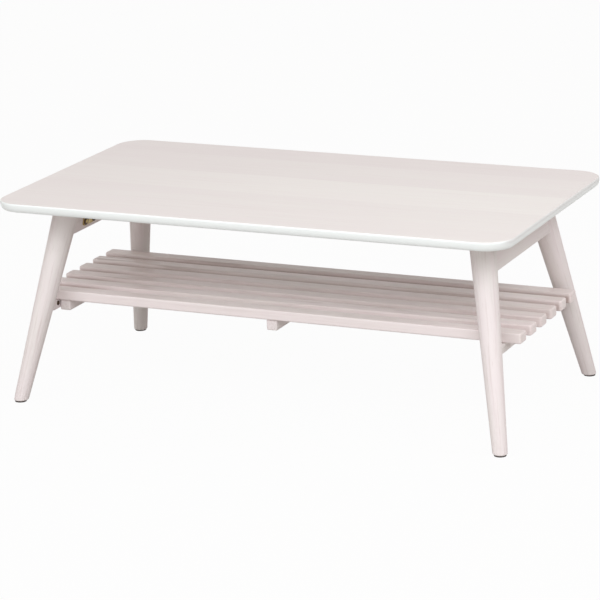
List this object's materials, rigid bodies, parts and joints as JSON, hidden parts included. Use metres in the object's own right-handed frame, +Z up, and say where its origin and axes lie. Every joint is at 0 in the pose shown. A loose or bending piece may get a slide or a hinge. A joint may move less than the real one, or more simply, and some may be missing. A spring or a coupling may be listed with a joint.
{
  "type": "folding low table",
  "caption": "Low rectangular table with round splayed legs that fold under the top in pairs and a lift-out slatted shelf between them.",
  "frame": {"origin": "on the floor below the middle of the table top", "axes": "+X along the long side to the right, +Y towards the back, +Z up"},
  "size_m": [0.9, 0.5, 0.35],
  "materials": {
    "whitewashed_top": "satin whitewash",
    "whitewashed_legs": "satin whitewash",
    "whitewashed_slats": "satin whitewash",
    "dowel_steel": "dark bronzed",
    "gold_plating": "yellow plated steel",
    "pin_steel": "plated",
    "foot_glide": "matt"
  },
  "bodies": {
    "top": {"table_top": "whitewashed_top", "left_front_bracket_base": "gold_plating", "left_front_bracket_pin": "pin_steel", "left_rear_bracket_base": "gold_plating", "left_rear_bracket_pin": "pin_steel", "right_front_bracket_base": "gold_plating", "right_front_bracket_pin": "pin_steel", "right_rear_bracket_base": "gold_plating", "right_rear_bracket_pin": "pin_steel"},
    "left_leg_frame": {"left_apron": "whitewashed_legs", "left_front_leg": "whitewashed_legs", "left_front_foot_glide": "foot_glide", "left_front_shelf_dowel": "dowel_steel", "left_front_bracket_leaf": "gold_plating", "left_rear_leg": "whitewashed_legs", "left_rear_foot_glide": "foot_glide", "left_rear_shelf_dowel": "dowel_steel", "left_rear_bracket_leaf": "gold_plating"},
    "right_leg_frame": {"right_apron": "whitewashed_legs", "right_front_leg": "whitewashed_legs", "right_front_foot_glide": "foot_glide", "right_front_shelf_dowel": "dowel_steel", "right_front_bracket_leaf": "gold_plating", "right_rear_leg": "whitewashed_legs", "right_rear_foot_glide": "foot_glide", "right_rear_shelf_dowel": "dowel_steel", "right_rear_bracket_leaf": "gold_plating"},
    "shelf": {"shelf_slat_1": "whitewashed_slats", "shelf_slat_2": "whitewashed_slats", "shelf_slat_3": "whitewashed_slats", "shelf_slat_4": "whitewashed_slats", "shelf_slat_5": "whitewashed_slats", "shelf_slat_6": "whitewashed_slats", "left_shelf_batten": "whitewashed_slats", "middle_shelf_batten": "whitewashed_slats", "right_shelf_batten": "whitewashed_slats", "left_shelf_rail": "whitewashed_slats", "right_shelf_rail": "whitewashed_slats"}
  },
  "joints": [
    {"name": "left_fold", "type": "hinge", "parent": "top", "child": "left_leg_frame", "pos_m": [-0.34426, 0, 0.3255], "axis": [0, -1, 0], "range_deg": [0, 100]},
    {"name": "right_fold", "type": "hinge", "parent": "top", "child": "right_leg_frame", "pos_m": [0.34426, 0, 0.3255], "axis": [0, 1, 0], "range_deg": [0, 100]},
    {"name": "shelf_draw", "type": "slide", "parent": "top", "child": "shelf", "axis": [1, 0, 0], "range_m": [0, 0.9]}
  ]
}
